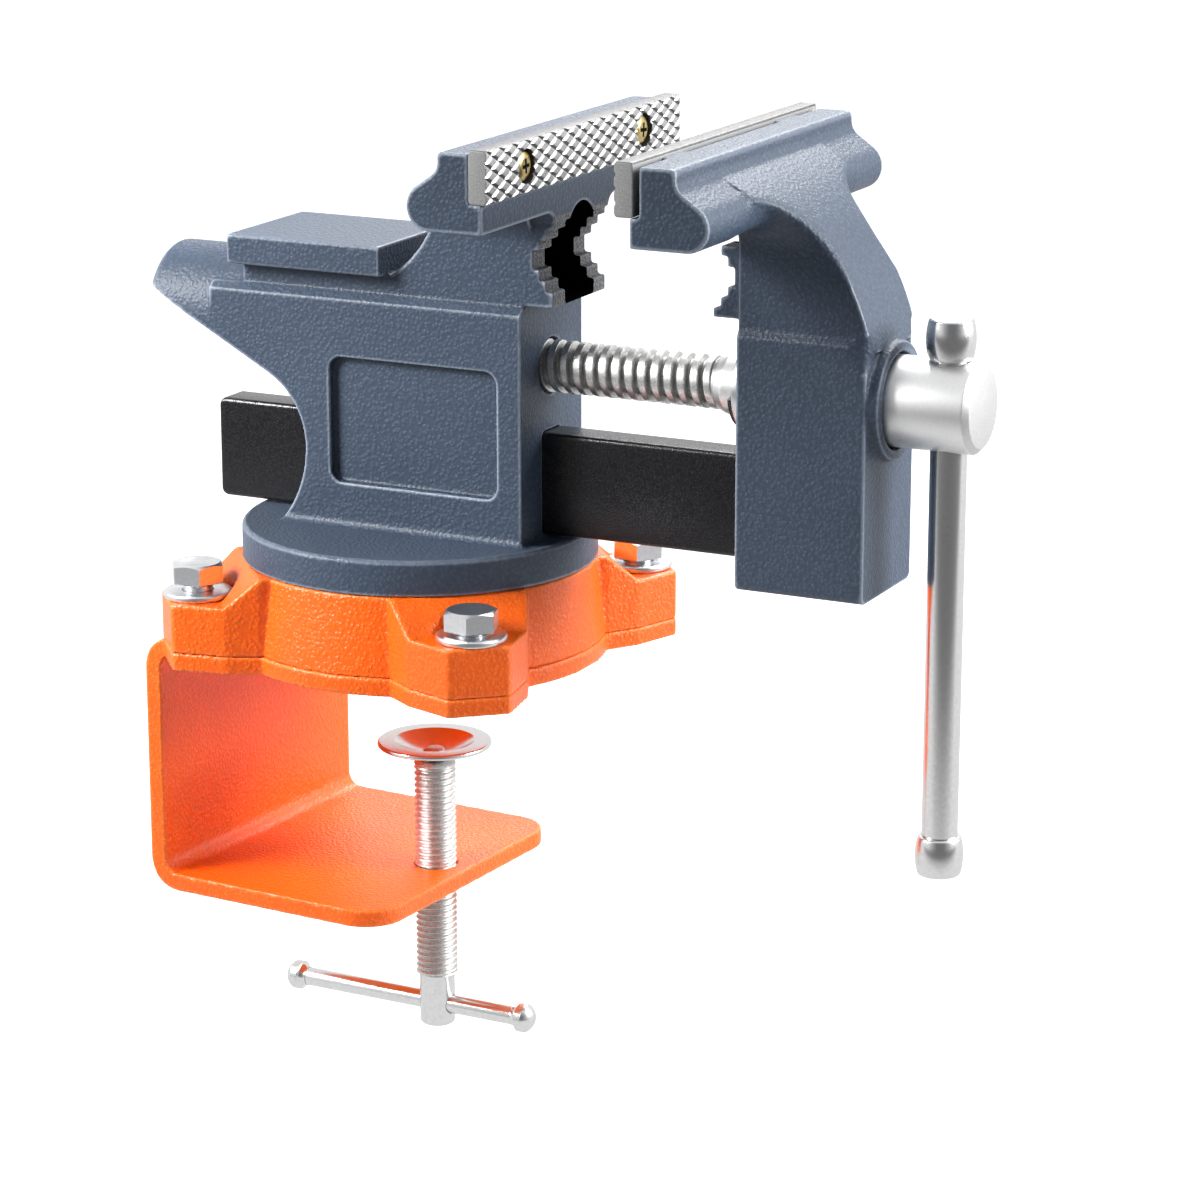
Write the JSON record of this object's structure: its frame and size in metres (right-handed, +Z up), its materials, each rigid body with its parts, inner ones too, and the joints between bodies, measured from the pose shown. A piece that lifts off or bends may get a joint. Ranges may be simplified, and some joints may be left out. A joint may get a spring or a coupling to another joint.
{
  "type": "swivel bench vise",
  "caption": "Clamp-on bench vise with a swivel base, stepped pipe jaws, anvil flat and horn; its jaw slides on a flat bar behind the main screw.",
  "frame": {"origin": "on the swivel axis, at the underside of the bracket's top leg, which rests on the bench", "axes": "+X along the main screw from the horn to the handle, +Z up along the swivel axis, +Y completes the right-handed frame"},
  "size_m": [0.2363, 0.1164, 0.2565],
  "materials": {
    "grey_enamel": "blue-grey enamel with a fine pebbled texture",
    "orange_enamel": "orange enamel with a fine pebbled texture",
    "black_finish": "matt black",
    "satin_steel": "satin nickel-plated steel",
    "plain_steel": "plain machined steel",
    "jaw_steel": "ground and knurled steel",
    "zinc": "bright zinc plate",
    "brass": "yellow passivated"
  },
  "bodies": {
    "bench_clamp": {"clamp_bracket": "orange_enamel", "swivel_base": "orange_enamel", "base_bolts": "zinc", "base_washers": "zinc"},
    "vise_body": {"fixed_jaw_body": "grey_enamel", "fixed_jaw_plate": "jaw_steel", "fixed_plate_screws": "brass", "main_nut": "plain_steel", "nut_pin": "plain_steel", "swivel_retainer": "plain_steel", "swivel_centre_screw": "zinc"},
    "moving_jaw": {"moving_jaw_body": "grey_enamel", "moving_jaw_plate": "jaw_steel", "moving_plate_screws": "brass", "slide_bar": "black_finish", "bar_set_screws": "black_finish", "thrust_washer": "zinc"},
    "lead_screw": {"main_screw": "satin_steel", "retaining_clip": "black_finish"},
    "handle_bar": {"tommy_bar": "satin_steel", "tommy_knob_top": "satin_steel", "tommy_knob_bottom": "satin_steel"},
    "pad": {"clamp_pad": "satin_steel"},
    "clamp_spindle": {"clamp_screw": "satin_steel"},
    "clamp_handle": {"t_bar": "satin_steel", "t_bar_knob_left": "satin_steel", "t_bar_knob_right": "satin_steel"}
  },
  "joints": [
    {"name": "swivel", "type": "hinge", "parent": "bench_clamp", "child": "vise_body", "pos_m": [0, 0, 0.0263], "axis": [0, 0, 1], "continuous": true},
    {"name": "jaw_slide", "type": "slide", "parent": "vise_body", "child": "moving_jaw", "axis": [1, 0, 0], "range_m": [-0.0347, 0.0252]},
    {"name": "screw_spin", "type": "hinge", "parent": "moving_jaw", "child": "lead_screw", "pos_m": [0.1, 0, 0.0817], "axis": [1, 0, 0], "range_deg": [-3331.3, 2419.3]},
    {"name": "tommy_slide", "type": "slide", "parent": "lead_screw", "child": "handle_bar", "axis": [0, 0, 1], "range_m": [0, 0.102]},
    {"name": "clamp_travel", "type": "slide", "parent": "bench_clamp", "child": "pad", "axis": [0, 0, 1], "range_m": [-0.028, 0.025]},
    {"name": "clamp_spin", "type": "hinge", "parent": "pad", "child": "clamp_spindle", "pos_m": [0.00369, -0.00027, -0.06], "axis": [0, 0, 1], "range_deg": [-5760.1, 5143]},
    {"name": "t_bar_slide", "type": "slide", "parent": "clamp_spindle", "child": "clamp_handle", "axis": [0.9996, -0.0279, 0], "range_m": [-0.019, 0.037]}
  ],
  "couplings": [
    {"joint": "screw_spin", "follows": "jaw_slide", "rad_per_m": 1675.5},
    {"joint": "clamp_spin", "follows": "clamp_travel", "rad_per_m": 3590.4}
  ]
}
